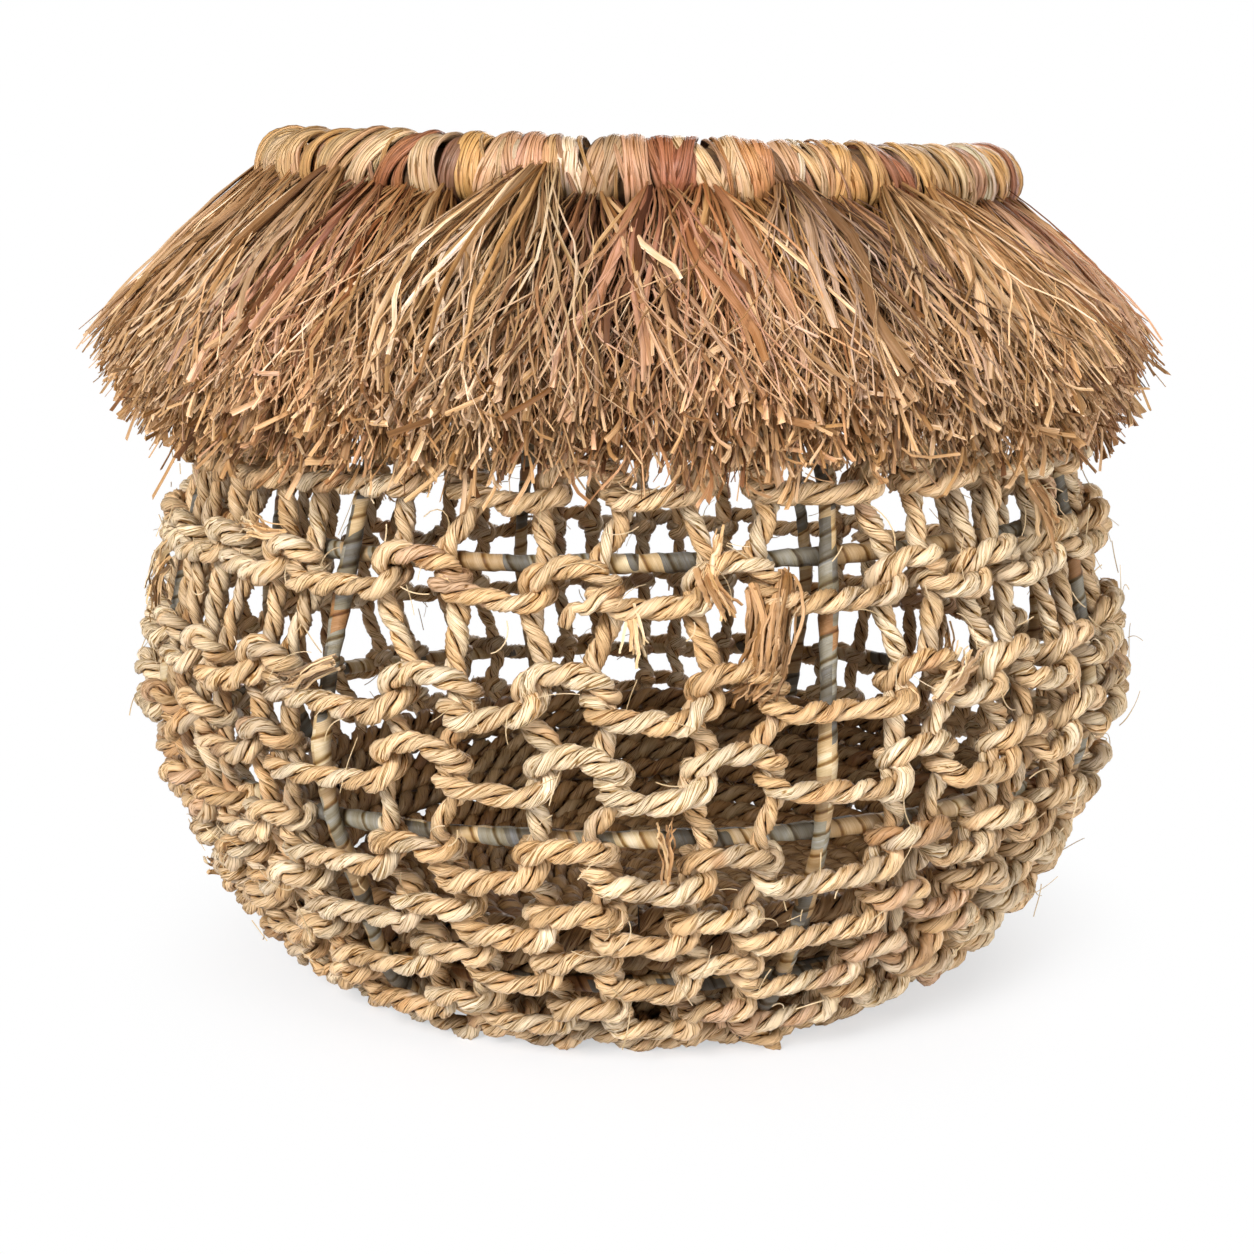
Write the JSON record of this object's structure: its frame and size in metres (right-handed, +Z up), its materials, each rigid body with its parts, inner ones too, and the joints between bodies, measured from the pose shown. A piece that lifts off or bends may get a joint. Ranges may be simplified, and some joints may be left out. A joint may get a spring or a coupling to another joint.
{
  "type": "rope basket",
  "caption": "Round bellied open basket of two-ply abaca rope netted over a bark-wrapped wire frame, with a leaf-wrapped rim and a fringe skirt.",
  "frame": {"origin": "on the floor, under the middle of the base", "axes": "+Z up, front towards -Y, +X to the right seen from the front"},
  "size_m": [0.5018, 0.5018, 0.388],
  "materials": {
    "net_rope": "dry twisted abaca rope, matt with satin strand faces",
    "upright_rope": "dry twisted abaca rope, matt",
    "base_rope": "dry twisted abaca rope, matt",
    "wrapped_wire": "tan and grey bark strip wound on wire, satin",
    "rim_core": "bundled dry fibre, matt",
    "leaf_sheath_strip": "dried leaf-sheath strip, satin, straw to red-brown",
    "fringe_fibre": "loose dry strips and fibres, straw, golden and red-brown"
  },
  "bodies": {
    "root": {"rim_core": "rim_core", "rim_wrap": "leaf_sheath_strip", "upper_hoop": "wrapped_wire", "lower_hoop": "wrapped_wire", "base_hoop": "wrapped_wire", "rib_1": "wrapped_wire", "rib_2": "wrapped_wire", "rib_3": "wrapped_wire", "rib_4": "wrapped_wire", "rib_5": "wrapped_wire", "rib_6": "wrapped_wire", "rib_7": "wrapped_wire", "rib_8": "wrapped_wire", "upright_rope_1": "upright_rope", "upright_rope_2": "upright_rope", "upright_rope_3": "upright_rope", "upright_rope_4": "upright_rope", "upright_rope_5": "upright_rope", "upright_rope_6": "upright_rope", "upright_rope_7": "upright_rope", "upright_rope_8": "upright_rope", "net_row_01": "net_rope", "net_row_02": "net_rope", "net_row_03": "net_rope", "net_row_04": "net_rope", "net_row_05": "net_rope", "net_row_06": "net_rope", "net_row_07": "net_rope", "net_row_08": "net_rope", "net_row_09": "net_rope", "net_row_10": "net_rope", "base_mat": "base_rope", "tuft_01": "fringe_fibre", "tuft_02": "fringe_fibre", "tuft_03": "fringe_fibre", "tuft_04": "fringe_fibre", "tuft_05": "fringe_fibre", "tuft_06": "fringe_fibre", "tuft_07": "fringe_fibre", "tuft_08": "fringe_fibre", "tuft_09": "fringe_fibre", "tuft_10": "fringe_fibre", "tuft_11": "fringe_fibre", "tuft_12": "fringe_fibre", "tuft_13": "fringe_fibre", "tuft_14": "fringe_fibre", "tuft_15": "fringe_fibre", "tuft_16": "fringe_fibre", "tuft_17": "fringe_fibre", "tuft_18": "fringe_fibre", "tuft_19": "fringe_fibre", "tuft_20": "fringe_fibre", "tuft_21": "fringe_fibre", "tuft_22": "fringe_fibre", "tuft_23": "fringe_fibre", "tuft_24": "fringe_fibre"}
  },
  "joints": []
}
